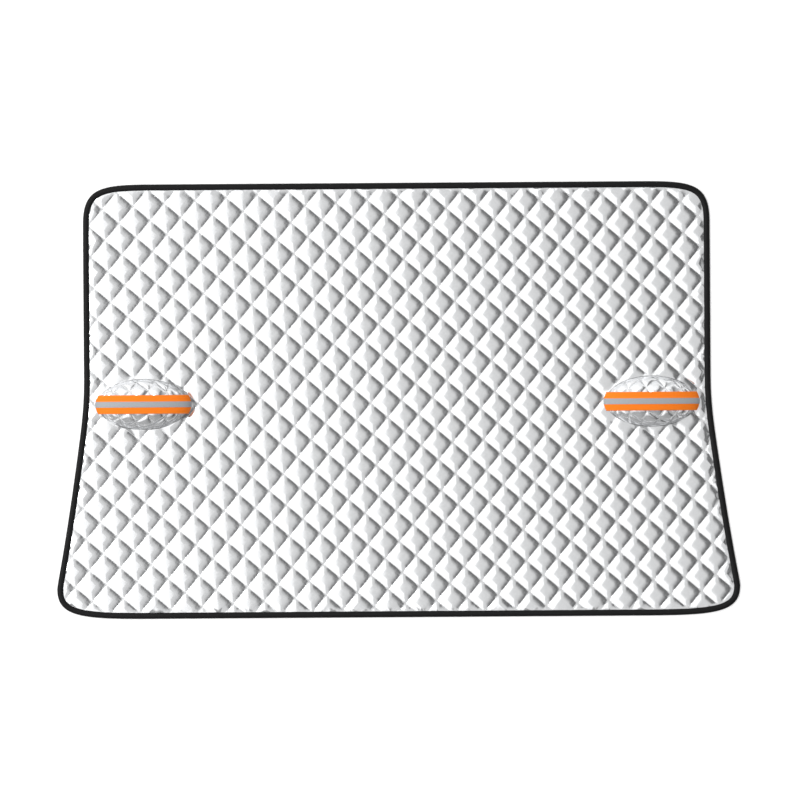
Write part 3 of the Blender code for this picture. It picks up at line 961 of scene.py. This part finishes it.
def pale_floor():
    """A square floor. Camera, mirrored and transmitted rays alone see the share of white that it adds."""
    made, tree = new_finish("pale studio floor")
    shader = add(tree, "ShaderNodeBsdfDiffuse", {"Color": srgb(FLOOR_PALE)})
    rays = add(tree, "ShaderNodeLightPath").outputs
    seen = add(
        tree, "ShaderNodeMath", {0: rays["Is Camera Ray"], 1: rays["Is Glossy Ray"]}, operation="MAXIMUM"
    ).outputs[0]
    seen = add(
        tree, "ShaderNodeMath", {0: seen, 1: rays["Is Transmission Ray"]}, operation="MAXIMUM"
    ).outputs[0]
    seen = add(tree, "ShaderNodeMath", {0: seen, 1: FLOOR_ADDED}, operation="MULTIPLY").outputs[0]
    glow = add(tree, "ShaderNodeEmission", {"Color": (1, 1, 1, 1), "Strength": seen})
    both = add(tree, "ShaderNodeAddShader", {0: shader.outputs[0], 1: glow.outputs[0]})
    add(tree, "ShaderNodeOutputMaterial", {0: both.outputs[0]})
    corner = np.array([(-1, -1), (1, -1), (1, 1), (-1, 1)]) * FLOOR_HALF
    points = np.column_stack([corner, np.full(4, -FLOOR_DROP)])
    return new_piece("floor", points, np.array([[0, 1, 2, 3]]), [made], smooth=False)


pale_floor()


# The light. A pale room that falls off to dark grey at the right and rises again at the far right, with
# a pale band at the horizon. It is brighter towards the roof edge and dimmer towards the hood edge. A
# soft panel hangs over the left half, and a soft box at the left.
ACROSS_WAY = (1.0, 0.13, 0.0)
ACROSS = (
    (-1.0, 1.0), (-0.3, 1.0), (-0.08, 0.90), (0.0, 0.80), (0.22, 0.79), (0.32, 0.72), (0.375, 0.57),
    (0.41, 0.34), (0.445, 0.16), (0.495, 0.06), (0.58, 0.08), (0.75, 0.45), (1.0, 0.60),
)
ALONG = (
    (-1.0, 0.50), (-0.80, 0.45), (-0.67, 0.32), (-0.53, 1.0), (0.57, 1.0), (0.66, 1.65), (0.84, 1.65),
    (0.92, 1.4), (1.0, 1.35),
)
HIGHEST_LEVEL = 2.0
HORIZON_LEVEL = 0.85
HORIZON_LOW = 0.12
HORIZON_HIGH = 0.38


def level_by(tree, amount, stops):
    """A value that runs straight between stops, each an amount from -1 to 1 and its level.

    The curve holds each level as a share of the highest that it can reach.
    """
    share = add(tree, "ShaderNodeMapRange", {0: amount, 1: -1.0, 2: 1.0}).outputs[0]
    ramp = add(tree, "ShaderNodeFloatCurve", {"Value": share})
    curve = ramp.mapping.curves[0]
    while len(curve.points) < len(stops):
        curve.points.new(0.5, 0.5)
    for point, (where, level) in zip(curve.points, stops):
        point.location = ((where + 1) / 2, level / HIGHEST_LEVEL)
        point.handle_type = "VECTOR"
    ramp.mapping.update()
    return add(
        tree, "ShaderNodeMath", {0: ramp.outputs[0], 1: HIGHEST_LEVEL}, operation="MULTIPLY"
    ).outputs[0]


def room():
    """The world. Its level is the level across times the level along, each by the way that a ray goes.

    Near the horizon the horizon's own level stands in for the level across.
    """
    world = bpy.data.worlds.new("studio")
    bpy.context.scene.world = world
    world.use_nodes = True
    tree = world.node_tree
    tree.nodes.clear()
    way = add(tree, "ShaderNodeTexCoord").outputs["Generated"]
    parts = add(tree, "ShaderNodeSeparateXYZ", {0: way}).outputs
    turned = add(
        tree, "ShaderNodeVectorMath", {0: way, 1: ACROSS_WAY}, operation="DOT_PRODUCT"
    ).outputs["Value"]
    across = level_by(tree, turned, ACROSS)
    along = level_by(tree, parts[1], ALONG)
    height = add(tree, "ShaderNodeMapRange", {0: parts[2], 1: HORIZON_LOW, 2: HORIZON_HIGH}).outputs[0]
    level = add(tree, "ShaderNodeMix", {0: height, 2: HORIZON_LEVEL, 3: across}).outputs[0]
    level = add(tree, "ShaderNodeMath", {0: level, 1: along}, operation="MULTIPLY").outputs[0]
    back = add(tree, "ShaderNodeBackground", {"Color": (1, 1, 1, 1), "Strength": level})
    add(tree, "ShaderNodeOutputWorld", {0: back.outputs[0]})


def soft_box(name, place, aim, size, power):
    """An area lamp of a width and a length at a place, turned to its aim."""
    lamp = bpy.data.lights.new(name, "AREA")
    lamp.shape = "RECTANGLE"
    lamp.size, lamp.size_y = size
    lamp.energy = power
    holder = bpy.data.objects.new(name, lamp)
    holder.location = place
    way = Vector(aim) - Vector(place)
    holder.rotation_euler = way.to_track_quat("-Z", "Y").to_euler()
    bpy.context.scene.collection.objects.link(holder)


room()
soft_box("ceiling panel", place=(-4.97, 0.0, 6.0), aim=(-4.97, 0.0, 0.0), size=(9.0, 12.0), power=150)
soft_box("left soft box", place=(-3.6, 0.6, 5.2), aim=(0, 0, 0), size=(2.5, 2.5), power=115)


# The camera. The photograph shows the cover from straight above through a long lens, turned by a fraction
# of a degree.
PHOTO_WIDTH = 2.1435
CAMERA_X = 0.00684
CAMERA_TURN = math.radians(-0.39)
CAMERA_HEIGHT = 20.0
SENSOR_WIDTH = 0.036

camera = bpy.data.cameras.new("camera")
camera.sensor_width = SENSOR_WIDTH * 1000
camera.lens = camera.sensor_width * CAMERA_HEIGHT / PHOTO_WIDTH
camera.clip_end = 2 * CAMERA_HEIGHT
viewer = bpy.data.objects.new("camera", camera)
viewer.location = (CAMERA_X, 0, CAMERA_HEIGHT)
viewer.rotation_euler = (0, 0, CAMERA_TURN)
bpy.context.scene.collection.objects.link(viewer)
bpy.context.scene.camera = viewer
bpy.context.scene.view_settings.view_transform = "Standard"
